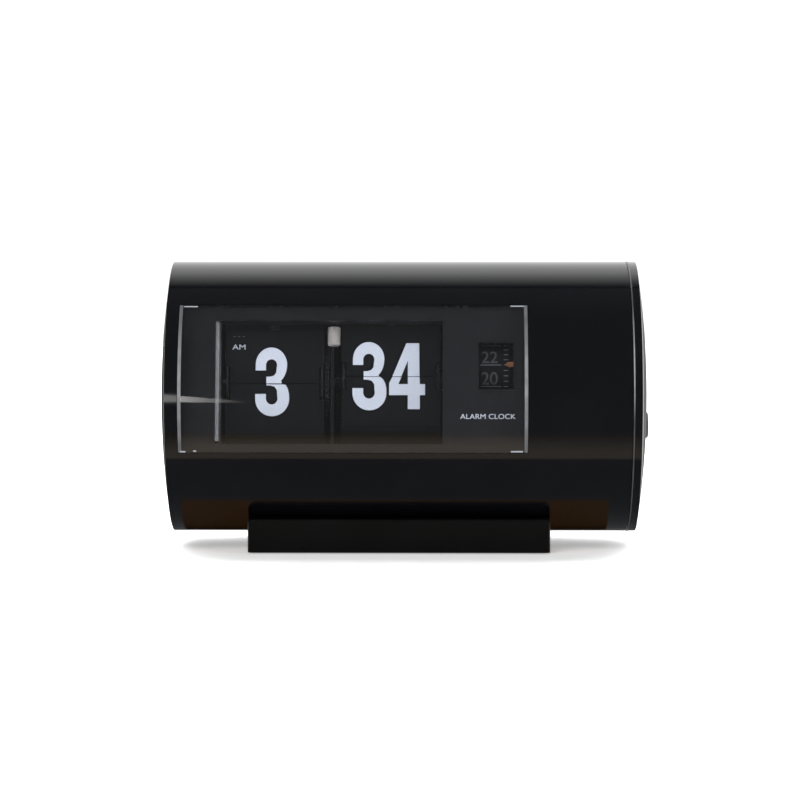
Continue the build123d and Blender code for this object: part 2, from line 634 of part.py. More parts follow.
minute_leaf = leaf(MINUTE_T, MINUTE_TAIL)
hour_leaf = leaf(HOUR_T, HOUR_TAIL)
write(place_leaf(minute_leaf, MINUTE_X, MINUTE_FIRST, -MINUTE_FORWARD), "minute_flip_leaf")
write(place_leaf(hour_leaf, HOUR_X, HOUR_FIRST, -HOUR_FORWARD), "hour_flip_leaf")
minute_pack = pack(minute_leaf, MINUTE_X, MINUTE_LEAVES, MINUTE_FIRST, 9.0, 1.5)
write(minute_pack, "minute_leaf_pack")
write(pack(hour_leaf, HOUR_X, HOUR_LEAVES, HOUR_FIRST, 20.5, 0.0), "hour_leaf_pack")


def retainer(middle, tip):
    """A clip on the front top rod whose finger ends just above the held leaf's edge."""
    rod_y, rod_z = RODS[0]
    disc(RODS[0], 2.5, middle - 2.5, middle + 2.5)
    with BuildSketch(section(middle - 1.5)) as finger:
        with BuildLine():
            Polyline(
                (rod_y, rod_z + 2.0), (rod_y - 2.2, rod_z + 0.5), (tip[0] - 0.75, 25.0),
                (tip[0] - 0.45, tip[1]), (tip[0] + 0.15, tip[1]), (tip[0] - 0.05, 24.6),
                (rod_y - 0.5, rod_z - 2.0), close=True
            )
        make_face()
    extrude(finger.sketch, amount=3.0)
    disc(RODS[0], ROD_R + 0.03, middle - 3, middle + 3, Mode.SUBTRACT)


with BuildPart() as minute_retainer:
    retainer(MINUTE_X, (-26.9, 20.25))
write(minute_retainer.part, "minute_retainer")

with BuildPart() as hour_retainer:
    retainer(HOUR_X, (-27.3, 18.6))
write(hour_retainer.part, "hour_retainer")

# ---------------------------------------------------------------- drive
with BuildPart() as hour_idler:
    gear(HOUR_IDLER, 48, FINE, IDLER_WHEEL_PHASE, -21.6, -20.2)
    disc(HOUR_IDLER, 1.0, -25.0, -20.2)
    gear(HOUR_IDLER, 10, HOUR_MODULE, IDLER_PINION_PHASE, -24.9, -23.5)
write(hour_idler.part, "hour_idler")

with BuildPart() as reduction_wheel:
    disc(REDUCTION, 1.0, RIGHT_PLATE[0] + 0.2, BRIDGE[1] - 0.2)
    gear(REDUCTION, 12, MIDDLE, REDUCTION_PHASE, 16.9, 19.5)
    gear(REDUCTION, 48, MIDDLE, 0, 19.4, 20.6)
write(reduction_wheel.part, "reduction_wheel")

with BuildPart() as motor:
    disc(MOTOR, 9.0, BRIDGE[1] + 0.02, 36.2)
    disc(MOTOR, 3.0, BRIDGE[0] + 0.1, BRIDGE[1] + 0.02)
    disc(MOTOR, 1.05, 21.0, 30.0, Mode.SUBTRACT)
write(motor.part, "motor")

with BuildPart() as motor_pinion:
    gear(MOTOR, 12, MIDDLE, MOTOR_PHASE, 19.2, 21.2)
    disc(MOTOR, 1.0, 21.1, 29.0)
write(motor_pinion.part, "motor_pinion")

SHAFT_END = 84.0

with BuildPart() as time_set_shaft:
    disc(TIME_SET, AXLE_R, RIGHT_PLATE[0], SHAFT_END)
    gear(TIME_SET, TIME_TEETH, MIDDLE, TIME_PHASE, 17.1, 18.7)
    disc(TIME_SET, 2.6, 18.6, 21.8)
write(time_set_shaft.part, "time_set_shaft")

with BuildPart() as alarm_set_shaft:
    disc(ALARM_SET, AXLE_R, BRIDGE[0], SHAFT_END)
    gear(ALARM_SET, ALARM_SET_TEETH, MIDDLE, ALARM_SET_PHASE, 37.3, 38.7)
    disc(ALARM_SET, 2.6, 23.4, 37.4)
write(alarm_set_shaft.part, "alarm_set_shaft")


def knob(centre):
    """A small ribbed push-on knob."""
    with BuildSketch(section(KNOB_BASE - 5)) as grip:
        with Locations(centre):
            Circle(KNOB_R)
            with PolarLocations(KNOB_R + 0.15, 20):
                Circle(0.4, mode=Mode.SUBTRACT)
    extrude(grip.sketch, amount=KNOB_TIP - KNOB_BASE + 5)
    disc(centre, AXLE_R + 0.01, KNOB_BASE - 6, SHAFT_END + 0.1, Mode.SUBTRACT)


with BuildPart() as time_set_knob:
    knob(TIME_SET)
    chamfer(time_set_knob.faces().sort_by(Axis.X)[-1].edges(), 0.35)
write(time_set_knob.part, "time_set_knob")

with BuildPart() as alarm_set_knob:
    knob(ALARM_SET)
    chamfer(alarm_set_knob.faces().sort_by(Axis.X)[-1].edges(), 0.35)
write(alarm_set_knob.part, "alarm_set_knob")

# ---------------------------------------------------------------- alarm
with BuildPart() as alarm_drum:
    disc(ALARM, ALARM_R, 26.0, 36.9)
    disc(ALARM, 12.6, 25.9, 35.7, Mode.SUBTRACT)
    disc(ALARM, 3.0, 24.0, 38.7)
    gear(ALARM, ALARM_TEETH, MIDDLE, ALARM_PHASE, 37.3, 38.7)
    disc(ALARM, 10.0, 36.8, 37.4)
    disc(ALARM, FIT, 23, 40, Mode.SUBTRACT)
write(alarm_drum.part, "alarm_drum")

with BuildPart() as alarm_axle:
    disc(ALARM, AXLE_R, BRIDGE[0], ALARM_PLATE[1])
write(alarm_axle.part, "alarm_axle")

with BuildPart() as alarm_idler:
    gear(ALARM_IDLER, ALARM_IDLER_TEETH, MIDDLE, ALARM_IDLER_PHASE, 37.3, 38.7)
    disc(ALARM_IDLER, 2.6, 36.6, 39.6)
    disc(ALARM_IDLER, FIT, 36, 40, Mode.SUBTRACT)
write(alarm_idler.part, "alarm_idler")

with BuildPart() as alarm_idler_axle:
    disc(ALARM_IDLER, AXLE_R, BRIDGE[0], ALARM_PLATE[1])
write(alarm_idler_axle.part, "alarm_idler_axle")

# ---------------------------------------------------------------- lamp, button, switch, board
LAMP_X, LAMP_Y, LAMP_R = -21.9, -27.5, 2.15

with BuildPart() as lamp:
    with BuildSketch(section(LAMP_X)) as glass:
        with Locations((LAMP_Y + LAMP_R / 2, 16.3)):
            Rectangle(LAMP_R, 6.4)
    stem = section(LAMP_X).from_local_coords((LAMP_Y, 0, 0))
    revolve(glass.sketch, axis=Axis(stem, section(LAMP_X).y_dir))
    fillet(lamp.edges(), 0.5)
write(lamp.part, "lamp")

with BuildPart() as lamp_holder:
    block((-24.1, -19.7), (-29.0, -25.25), (19.52, 25.0))
write(lamp_holder.part, "lamp_holder")

with BuildPart() as lamp_button:
    round_bar(rear(BUTTON_X, BUTTON_ANGLE, 43.0), (0, 0), 4.1, 6.0)
    fillet(lamp_button.edges().sort_by(Axis.Z)[-1], 0.8)
    round_bar(rear(BUTTON_X, BUTTON_ANGLE, 41.4), (0, 0), 5.2, 1.7)
    round_bar(rear(BUTTON_X, BUTTON_ANGLE, 39.9), (0, 0), 1.4, 2.0)
write(lamp_button.part, "lamp_button")

with BuildPart() as button_switch:
    slab(rear(BUTTON_X, BUTTON_ANGLE, 32.5), (0, 0), 13.0, 12.0, 5.6)
write(button_switch.part, "button_switch")

with BuildPart() as alarm_slider:
    slab(rear(SWITCH_X - 3.0, SWITCH_ANGLE, 40.0), (0, 0), 3.6, 3.2, 8.0)
    slab(rear(SWITCH_X - 3.0, SWITCH_ANGLE, 46.4), (0, 0), 3.6, 3.2, 1.6, Mode.ADD, 0.6)
write(alarm_slider.part, "alarm_slider")

with BuildPart() as slide_switch:
    slab(rear(SWITCH_X, SWITCH_ANGLE, 34.5), (0, 0), 16.0, 8.0, 9.0)
    slab(rear(SWITCH_X, SWITCH_ANGLE, 39.9), (0, 0), 10.6, 3.5, 5.0, Mode.SUBTRACT)
write(slide_switch.part, "slide_switch")

with BuildPart() as circuit_board:
    block((44.0, 45.6), (-17.0, 3.0), (-18.0, 24.0))
    disc((-14.0, 20.0), 1.6, 41.22, 44.0)
    disc((-14.0, -14.0), 1.6, 41.22, 44.0)
write(circuit_board.part, "circuit_board")

with BuildPart() as board_parts:
    block((45.62, 47.8), (-9.0, -3.0), (0.0, 12.0))
    disc((-12.0, -6.0), 3.2, 45.62, 53.6)
    disc((-4.0, -8.0), 1.6, 45.62, 51.6)
    block((45.62, 48.6), (-15.5, -11.5), (8.0, 16.0))
write(board_parts.part, "board_parts")
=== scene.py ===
"""Looks for the flip number clock: materials, printed digits, fine trim, lights and camera."""
from math import cos, pi, radians, sin

import bmesh
import bpy
from mathutils import Matrix, Vector


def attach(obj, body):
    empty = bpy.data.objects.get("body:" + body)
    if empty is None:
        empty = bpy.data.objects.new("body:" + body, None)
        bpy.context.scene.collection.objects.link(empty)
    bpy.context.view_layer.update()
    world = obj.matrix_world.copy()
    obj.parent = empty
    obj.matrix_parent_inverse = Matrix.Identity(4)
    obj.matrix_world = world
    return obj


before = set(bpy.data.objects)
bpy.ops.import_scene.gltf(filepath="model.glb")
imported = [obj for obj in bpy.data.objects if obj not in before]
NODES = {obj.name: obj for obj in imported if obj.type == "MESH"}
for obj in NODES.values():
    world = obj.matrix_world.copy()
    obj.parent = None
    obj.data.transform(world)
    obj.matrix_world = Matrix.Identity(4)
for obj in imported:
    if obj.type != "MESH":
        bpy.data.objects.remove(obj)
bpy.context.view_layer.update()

MM = 0.001


# ---------------------------------------------------------------- the clock's own frame
CASE_R = 46.5
AXIS_Z = 51.5
TILT = radians(12.0)
DRUM_Y, DRUM_Z, PIN_R = -15.2, 2.87, 11.0
MOVEMENT = (
    Matrix.Scale(MM, 4)
    @ Matrix.Translation((0, 0, AXIS_Z))
    @ Matrix.Rotation(-TILT, 4, "X")
)


def at(x, y, z):
    """A point of the tilted movement, in millimetres, as a point of the row frame in metres."""
    return MOVEMENT @ Vector((x, y, z))


# ---------------------------------------------------------------- materials
# the mask's change of colour along X is painted light: it grows lighter towards the right
PAINTED_LIGHT_X = (-0.07, 0.03)           # metres: where the mask starts and ends its change of colour
DOME_BLEND = (0.0004, 0.0008)    # metres: how far the shine takes to fall, left end and right end
COVER_IOR, COVER_SHINE = 1.42, 2.6
# the dark colour that the painted edge highlights fade to: painted shade
EDGE_SHADOW = (0.012, 0.012, 0.014)


def new_material(name):
    material = bpy.data.materials.new(name)
    material.use_nodes = True
    nodes = material.node_tree.nodes
    return material, nodes, material.node_tree.links, nodes["Principled BSDF"]


def noise(nodes, links, scale, detail=4.0, stretch=None):
    """A noise texture in the object's own coordinates, which are the row frame's metres."""
    place = nodes.new("ShaderNodeTexCoord")
    texture = nodes.new("ShaderNodeTexNoise")
    texture.inputs["Scale"].default_value = scale
    texture.inputs["Detail"].default_value = detail
    source = place.outputs["Object"]
    if stretch:
        mapping = nodes.new("ShaderNodeMapping")
        mapping.inputs["Scale"].default_value = stretch
        links.new(source, mapping.inputs["Vector"])
        source = mapping.outputs["Vector"]
    links.new(source, texture.inputs["Vector"])
    return texture.outputs["Fac"]


def own_coordinate(nodes, links, axis):
    """One of the object's own coordinates, X, Y or Z, in the row frame's metres."""
    place = nodes.new("ShaderNodeTexCoord")
    parts = nodes.new("ShaderNodeSeparateXYZ")
    links.new(place.outputs["Object"], parts.inputs["Vector"])
    return parts.outputs[axis]


def maths(nodes, links, operation, first, second=None):
    """A Math node on one or two values: each is a socket, or a plain number for the second."""
    node = nodes.new("ShaderNodeMath")
    node.operation = operation
    links.new(first, node.inputs[0])
    if isinstance(second, (int, float)):
        node.inputs[1].default_value = second
    elif second is not None:
        links.new(second, node.inputs[1])
    return node


def ramp(nodes, links, source, low, high, start=0.3, end=0.7):
    """The source mapped from start..end to low..high. The defaults suit a noise texture."""
    node = nodes.new("ShaderNodeMapRange")
    node.inputs["From Min"].default_value = start
    node.inputs["From Max"].default_value = end
    node.inputs["To Min"].default_value = low
    node.inputs["To Max"].default_value = high
    links.new(source, node.inputs["Value"])
    return node.outputs["Result"]


def tint(nodes, links, source, dark, light):
    node = nodes.new("ShaderNodeMix")
    node.data_type = "RGBA"
    node.inputs["A"].default_value = (*dark, 1)
    node.inputs["B"].default_value = (*light, 1)
    links.new(source, node.inputs["Factor"])
    return node.outputs["Result"]


def bump(nodes, links, source, shader, strength, distance):
    node = nodes.new("ShaderNodeBump")
    node.inputs["Strength"].default_value = strength
    node.inputs["Distance"].default_value = distance
    links.new(source, node.inputs["Height"])
    links.new(node.outputs["Normal"], shader.inputs["Normal"])


def moulded(name, dark, light, rough, grain=900.0, depth=0.00002, strength=0.15, coat=0.0,
            painted_light=None):
    """Moulded plastic: faint colour and gloss variation over a fine surface grain.

    Its last argument is the colour that it turns to along X, over the stretch set at the top of
    the materials: painted light, which makes the plastic lighter towards +X.
    """
    material, nodes, links, shader = new_material(name)
    broad = noise(nodes, links, 60.0)
    fine = noise(nodes, links, grain, 2.0)
    colour = tint(nodes, links, ramp(nodes, links, broad, 0, 1), dark, light)
    # painted light: the colour shifts lighter along X
    if painted_light:
        across = ramp(nodes, links, own_coordinate(nodes, links, "X"), 0.0, 1.0, *PAINTED_LIGHT_X)
        fade = nodes.new("ShaderNodeMix")
        fade.data_type = "RGBA"
        fade.inputs["B"].default_value = (*painted_light, 1)
        links.new(colour, fade.inputs["A"])
        links.new(across, fade.inputs["Factor"])
        colour = fade.outputs["Result"]
    links.new(colour, shader.inputs["Base Color"])
    links.new(ramp(nodes, links, broad, rough[0], rough[1]), shader.inputs["Roughness"])
    bump(nodes, links, fine, shader, strength, depth)
    if coat:
        shader.inputs["Coat Weight"].default_value = coat
        shader.inputs["Coat Roughness"].default_value = 0.05
    return material


def dull_ends(material, left, right):
    """Less shine on the case's domed ends, which start at left and right along X."""
    nodes, links = material.node_tree.nodes, material.node_tree.links
    along = own_coordinate(nodes, links, "X")
    from_left = ramp(nodes, links, along, 0.0, 1.0, left - DOME_BLEND[0], left)
    from_right = ramp(nodes, links, along, 1.0, 0.25, right, right + DOME_BLEND[1])
    least = maths(nodes, links, "MINIMUM", from_left, from_right)
    shader = nodes["Principled BSDF"]
    links.new(ramp(nodes, links, least.outputs["Value"], 0.05, 0.5, 0.0, 1.0),
              shader.inputs["Specular IOR Level"])
    links.new(ramp(nodes, links, least.outputs["Value"], 0.6, 0.09, 0.0, 1.0),
              shader.inputs["Roughness"])


def metal(name, dark, light, rough, stretch, scale=400.0):
    """Metal with grain drawn out along one way."""
    material, nodes, links, shader = new_material(name)
    shader.inputs["Metallic"].default_value = 1.0
    grain = noise(nodes, links, scale, 5.0, stretch)
    links.new(tint(nodes, links, ramp(nodes, links, grain, 0, 1), dark, light),
              shader.inputs["Base Color"])
    links.new(ramp(nodes, links, grain, rough[0], rough[1]), shader.inputs["Roughness"])
    bump(nodes, links, grain, shader, 0.2, 0.00002)
    return material


def printed(name, colour, rough=0.5):
    """Printing ink, slightly uneven."""
    material, nodes, links, shader = new_material(name)
    uneven = noise(nodes, links, 1500.0, 3.0)
    dark = tuple(0.93 * c for c in colour)
    links.new(tint(nodes, links, ramp(nodes, links, uneven, 0, 1), dark, colour),
              shader.inputs["Base Color"])
    shader.inputs["Roughness"].default_value = rough
    return material


def clear_cover(name, tone, gloss_rough):
    """Thin clear acrylic: what is behind shows through, and the surface reflects."""
    material, nodes, links, shader = new_material(name)
    nodes.remove(shader)
    output = nodes["Material Output"]
    through = nodes.new("ShaderNodeBsdfTransparent")
    through.inputs["Color"].default_value = (*tone, 1)
    gloss = nodes.new("ShaderNodeBsdfGlossy")
    gloss.inputs["Color"].default_value = (1, 1, 1, 1)
    smear = noise(nodes, links, 35.0, 3.0)
    links.new(ramp(nodes, links, smear, gloss_rough[0], gloss_rough[1]), gloss.inputs["Roughness"])
    fresnel = nodes.new("ShaderNodeFresnel")
    fresnel.inputs["IOR"].default_value = COVER_IOR
    # the front face reflects for both faces of the sheet, and the back face not at all
    geometry = nodes.new("ShaderNodeNewGeometry")
    share = ramp(nodes, links, geometry.outputs["Backfacing"], COVER_SHINE, 0.0, 0.0, 1.0)
    both = maths(nodes, links, "MULTIPLY", fresnel.outputs["Fac"], share)
    both.use_clamp = True
    mix = nodes.new("ShaderNodeMixShader")
    links.new(both.outputs["Value"], mix.inputs["Fac"])
    links.new(through.outputs["BSDF"], mix.inputs[1])
    links.new(gloss.outputs["BSDF"], mix.inputs[2])
    links.new(mix.outputs["Shader"], output.inputs["Surface"])
    return material


def painted_highlight_strip(name, colour, middle, reach, least):
    """A strip with a painted highlight, brightest at the height middle, in millimetres over the
    axis, and painted shade away from it.
    """
    material, nodes, links, shader = new_material(name)
    height = maths(nodes, links, "SUBTRACT", own_coordinate(nodes, links, "Z"),
                   (AXIS_Z + middle) * MM)
    away = maths(nodes, links, "ABSOLUTE", height.outputs["Value"])
    level = ramp(nodes, links, away.outputs["Value"], 1.0, least, 0.15 * reach * MM, reach * MM)
    wobble = ramp(nodes, links, noise(nodes, links, 260.0, 3.0), 0.7, 1.1)
    product = maths(nodes, links, "MULTIPLY", level, wobble)
    # painted highlight at the middle height, fading to painted shade
    links.new(tint(nodes, links, product.outputs["Value"], EDGE_SHADOW, colour),
              shader.inputs["Base Color"])
    shader.inputs["Roughness"].default_value = 0.3
    return material


CASE_GLOSS = moulded("case_gloss_black", (0.0018, 0.0020, 0.0027), (0.0027, 0.0029, 0.0038),
                     (0.07, 0.12), grain=700.0, depth=0.000004, strength=0.1)
dull_ends(CASE_GLOSS, -0.0775, 0.0808)
FOOT_BLACK = moulded("foot_black", (0.0022, 0.0022, 0.0024), (0.0032, 0.0032, 0.0034), (0.3, 0.38))
FOOT_BLACK.node_tree.nodes["Principled BSDF"].inputs["Specular IOR Level"].default_value = 0.25
KNOB_GREY = moulded("knob_grey", (0.10, 0.095, 0.097), (0.13, 0.125, 0.127), (0.35, 0.45))
SATIN = moulded("satin_black", (0.006, 0.006, 0.006), (0.009, 0.009, 0.009), (0.34, 0.42))
# the mask is painted lighter towards the right: painted light
MASK = moulded("mask_dark_grey", (0.0095, 0.0100, 0.0115), (0.0125, 0.0130, 0.0145), (0.45, 0.55),
               grain=1400.0, depth=0.00003, strength=0.3, painted_light=(0.0135, 0.0140, 0.0160))
LEAF = moulded("leaf_black", (0.0045, 0.0048, 0.0060), (0.0062, 0.0066, 0.0080), (0.45, 0.55),
               grain=2500.0, depth=0.00001, strength=0.2)
RUBBER = moulded("foot_rubber", (0.01, 0.01, 0.01), (0.016, 0.016, 0.016), (0.75, 0.9),
                 grain=1800.0, depth=0.00006, strength=0.5)
CREAM = moulded("acetal_cream", (0.66, 0.64, 0.58), (0.72, 0.70, 0.65), (0.35, 0.45))
DARK_ACETAL = moulded("acetal_black", (0.012, 0.012, 0.012), (0.018, 0.018, 0.018), (0.35, 0.45))
LAMP = moulded("lamp_frosted", (0.42, 0.39, 0.36), (0.50, 0.47, 0.43), (0.3, 0.4))
PAINTED = moulded("plate_paint", (0.25, 0.252, 0.255), (0.31, 0.312, 0.315), (0.4, 0.5))
BOARD = moulded("board_green", (0.01, 0.07, 0.03), (0.015, 0.09, 0.04), (0.3, 0.4), coat=0.5)
WRAP = moulded("cell_wrap", (0.12, 0.12, 0.14), (0.15, 0.15, 0.17), (0.15, 0.22), coat=0.6)
ORANGE = moulded("pointer_orange", (0.20, 0.085, 0.035), (0.25, 0.105, 0.045), (0.4, 0.5))
ALUMINIUM = metal("rolled_aluminium", (0.50, 0.51, 0.53), (0.68, 0.69, 0.71), (0.3, 0.42),
                  (1, 1, 12))
STEEL = metal("turned_steel", (0.40, 0.40, 0.41), (0.56, 0.56, 0.57), (0.25, 0.38), (12, 1, 1))
DARK_METAL = moulded("blackened_steel", (0.006, 0.006, 0.007), (0.010, 0.010, 0.011), (0.4, 0.5))
BRASS = metal("brass", (0.50, 0.36, 0.14), (0.64, 0.48, 0.22), (0.28, 0.38), (6, 1, 1))
COVER = clear_cover("window_clear", (0.93, 0.935, 0.95), (0.02, 0.05))
# painted highlight on the window's side edges
WINDOW_EDGE_HIGHLIGHT = painted_highlight_strip("window_edge_highlight", (0.20, 0.205, 0.215), 8.0, 24.0, 0.35)
# painted highlight on a thin ring over the cap's rim
RIM_HIGHLIGHT = painted_highlight_strip("rim_bevel", (0.27, 0.274, 0.286), 13.5, 19.0, 0.12)
# bright paint on the window's corners: painted glints
CORNER_GLINT_PAINT = moulded("window_corner", (0.22, 0.24, 0.27), (0.30, 0.32, 0.35), (0.2, 0.3))
WHITE_INK = printed("ink_white", (0.74, 0.79, 0.87))
GREY_INK = printed("ink_grey", (0.16, 0.17, 0.19))
DIM_INK = printed("ink_dim", (0.075, 0.077, 0.083))

BY_NODE = {
    CASE_GLOSS: ["tube_shell", "right_end_cap", "battery_door"],
    SATIN: ["battery_cradle", "buzzer", "lamp_holder", "lamp_button", "button_switch",
            "alarm_slider", "board_parts"],
    FOOT_BLACK: ["foot"],
    KNOB_GREY: ["time_set_knob", "alarm_set_knob"],
    PAINTED: ["left_plate"],
    MASK: ["face_mask"],
    LEAF: ["minute_leaf_pack", "hour_leaf_pack", "minute_flip_leaf", "hour_flip_leaf",
           "alarm_drum"],
    RUBBER: ["foot_pad"],
    CREAM: ["spacer_sleeves", "reduction_wheel", "time_set_shaft",
            "alarm_set_shaft", "alarm_idler"],
    DARK_ACETAL: ["minute_drum", "hour_drum", "minute_retainer", "hour_retainer", "hour_idler"],
    LAMP: ["lamp"],
    BOARD: ["circuit_board"],
    WRAP: ["battery_cell"],
    ORANGE: ["alarm_pointer"],
    ALUMINIUM: ["right_plate", "bridge_plate", "alarm_plate"],
    DARK_METAL: ["centre_plate"],
    STEEL: ["cap_screws", "foot_screws", "battery_plus", "battery_spring", "frame_rods",
            "rod_nuts", "main_axle", "motor", "alarm_axle", "alarm_idler_axle", "slide_switch"],
    BRASS: ["motor_pinion"],
    COVER: ["front_window"],
}
for material, names in BY_NODE.items():
    for name in names:
        slots = NODES[name].data.materials
        slots.clear()
        slots.append(material)


# ---------------------------------------------------------------- mesh helpers
def piece(name, mesh, material, body):
    obj = bpy.data.objects.new(name, mesh)
    bpy.context.scene.collection.objects.link(obj)
    mesh.materials.clear()
    mesh.materials.append(material)
    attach(obj, body)
    return obj


def arc(centre, radii, start, end, steps=14):
    """Points along part of an ellipse, from start to end degrees."""
    points = []
    for step in range(steps + 1):
        turn = radians(start + (end - start) * step / steps)
        points.append((centre[0] + radii[0] * cos(turn), centre[1] + radii[1] * sin(turn)))
    return points


def flat_glyph(loops, shift, deep):
    """A filled flat shape from closed loops, holes included, as a mesh in (x, 0, z) metres."""
    curve = bpy.data.curves.new("glyph", "CURVE")
    curve.dimensions = "2D"
    curve.fill_mode = "BOTH"
    curve.extrude = deep / 2 * MM
    for loop in loops:
        spline = curve.splines.new("POLY")
        spline.points.add(len(loop) - 1)
        for point, (x, z) in zip(spline.points, loop):
            point.co = ((x + shift[0]) * MM, (z + shift[1]) * MM, 0, 1)
        spline.use_cyclic_u = True
    return curve_mesh(curve)


def curve_mesh(curve):
    """Turn a flat curve or text into a mesh that stands upright and faces -Y."""
    holder = bpy.data.objects.new("glyph", curve)
    bpy.context.scene.collection.objects.link(holder)
    graph = bpy.context.evaluated_depsgraph_get()
    mesh = bpy.data.meshes.new_from_object(holder.evaluated_get(graph))
    bpy.data.objects.remove(holder)
    mesh.transform(Matrix.Rotation(pi / 2, 4, "X"))
    return mesh


def joined(meshes):
    """One mesh from several."""
    build = bmesh.new()
    for mesh in meshes:
        build.from_mesh(mesh)
    bmesh.ops.remove_doubles(build, verts=build.verts, dist=1e-7)
    result = bpy.data.meshes.new("joined")
    build.to_mesh(result)
    build.free()
    return result


# ---------------------------------------------------------------- digits
DIGIT_H = 23.3
WAIST = DIGIT_H / 2
TRIM = WAIST - 0.22      # where the lower halves stop, at the edge of a hanging leaf


THREE_MIDDLE, THREE_WIDTH = 6.1, 0.94


def narrowed(loop):
    """The 3 squeezed a little towards its middle."""
    return [(THREE_MIDDLE + THREE_WIDTH * (x - THREE_MIDDLE), z) for x, z in loop]


def three_top(low=WAIST):
    loop = [(0.15, 15.5)]
    loop += arc((5.8, 17.4), (5.65, 5.9), 180, 0, 20)
    loop += [(11.25, 15.6), (10.75, 14.1), (10.0, 12.8), (9.3, 12.1), (9.6, low)]
    loop += [(4.0, low), (4.0, 13.4), (5.4, 13.4), (6.7, 13.75), (7.5, 14.7)]
    loop += arc((5.85, 17.3), (2.0, 2.0), -20, 180, 14)
    loop += [(3.85, 15.5)]
    return [narrowed(loop)]


def three_bottom():
    loop = [(4.0, TRIM), (4.0, 10.5), (5.4, 10.5), (6.9, 10.1), (7.8, 8.9)]
    loop += arc((5.95, 6.1), (2.1, 2.1), 20, -180, 16)
    loop += [(3.85, 7.6), (0.0, 7.6)]
    loop += arc((6.1, 5.9), (6.1, 5.9), 180, 360, 24)
    loop += [(12.15, 7.6), (11.7, 9.4), (10.9, 10.7), (9.9, TRIM)]
    return [narrowed(loop)]


def four_top(low=WAIST):
    outer = [(1.1, low), (5.8, 22.9), (10.1, 22.9), (10.25, low), (6.3, low), (6.3, 17.0),
             (4.1, low)]
    return [outer]


def four_bottom():
    outer = [(6.3, 0.4), (10.35, 0.4), (10.35, 5.2), (12.1, 5.2), (12.1, 9.0), (10.35, 9.0),
             (10.25, TRIM), (6.3, TRIM), (6.3, 9.0), (3.1, 9.0), (4.15, TRIM), (1.1, TRIM),
             (0.0, 9.3), (0.0, 5.2), (6.3, 5.2)]
    return [outer]


def five_top(low=WAIST):
    loop = [(0.7, low), (1.5, 22.9), (11.1, 22.9), (11.1, 19.2), (4.9, 19.2), (4.6, 14.9)]
    loop += arc((6.9, low), (5.2, 4.0), 110, 0, 12)
    loop += arc((6.2, low), (2.1, 1.6), 0, 180, 12)
    return [loop]


def five_bottom():
    loop = [(8.3, TRIM), (8.3, 9.0)]
    loop += arc((6.1, 6.0), (2.2, 2.2), 0, -180, 14)
    loop += [(3.9, 7.2), (0.1, 7.2)]
    loop += arc((6.1, 6.0), (6.0, 6.0), 180, 360, 22)
    loop += [(12.1, TRIM)]
    return [loop]


CLEAR = WAIST + 0.2      # a waiting leaf's print starts above the split, so that it stays hidden
LIFT = 0.012             # middle of a print's thickness, over the leaf's face
PRINT_DEPTH = 0.01
HOUR_RISE = 0.55         # the hour's halves sit this much higher on their leaves


def raised(loops, rise):
    """The same half digit moved up on its leaf, with its cut edge left at the split line."""
    moved = []
    for loop in loops:
        edge = min((z for x, z in loop), key=lambda z: abs(z - WAIST))
        moved.append([(x, z if abs(z - edge) < 0.001 else z + rise) for x, z in loop])
    return moved


def leaf_side(pin_angle, lean, upright):
    """Matrix from a leaf's printed side to the row frame.

    The print's origin is on the pin, x along the clock, z up or down along the leaf as seen from
    the front once the leaf shows that side.
    """
    pin_y = DRUM_Y - PIN_R * cos(radians(pin_angle))
    pin_z = DRUM_Z + PIN_R * sin(radians(pin_angle))
    turn = radians(-lean if upright else 180 + lean)
    return MOVEMENT @ Matrix.Translation((0, pin_y, pin_z)) @ Matrix.Rotation(turn, 4, "X")


def print_half(name, loops, x, rise, leaf, half_thick, body):
    """Print half a digit on a leaf.

    rise is the height of the display's split line over the leaf's pin when that side shows. The
    upper half goes on the front of a standing leaf, the lower half on what is then its back.
    """
    pin_angle, lean, upright, lower = leaf
    mesh = flat_glyph(loops, (x, rise - WAIST), PRINT_DEPTH)
    if lower:
        # the hanging leaf's print: turn it half round the pin, on to the leaf's other side
        mesh.transform(Matrix.Rotation(pi, 4, "X"))
        mesh.transform(Matrix.Translation((0, (half_thick + LIFT) * MM, 0)))
    else:
        mesh.transform(Matrix.Translation((0, -(half_thick + LIFT) * MM, 0)))
    mesh.transform(Matrix.Scale(1 / MM, 4))
    mesh.transform(leaf_side(pin_angle, lean, upright))
    return piece(name, mesh, WHITE_INK, body)


MINUTE_PITCH, HOUR_PITCH = 6.0, 15.0           # degrees from one leaf's pin to the next
MINUTE_FIRST, HOUR_FIRST = 3.0, -5.5           # pin angles of the leaves about to fall
MINUTE_HANGING, HOUR_HANGING = -3.0, -20.5     # and of the leaves that hang in front
MINUTE_HALF, HOUR_HALF = 0.05, 0.075           # half a leaf's thickness
MINUTE_SPLIT = PIN_R * sin(radians(MINUTE_FIRST))
HOUR_SPLIT = PIN_R * (sin(radians(-HOUR_HANGING)) - sin(radians(-HOUR_FIRST))) / 2

LEFT_3, RIGHT_4, HOUR_3 = -16.05, -3.3, -48.9  # where each digit's left side is, along the clock

# each leaf's pin angle, lean, whether it stands, and whether the print is the lower half
held_minute = (MINUTE_FIRST, -2.5, True, False)
held_minute_back = (MINUTE_FIRST, -2.5, True, True)
next_minute = (MINUTE_FIRST + MINUTE_PITCH, 0.0, True, False)
hanging_minute = (MINUTE_HANGING, -1.5, False, True)
held_hour = (HOUR_FIRST, -3.5, True, False)
held_hour_back = (HOUR_FIRST, -3.5, True, True)
next_hour = (HOUR_FIRST + HOUR_PITCH, 0.0, True, False)
hanging_hour = (HOUR_HANGING, 0.0, False, True)

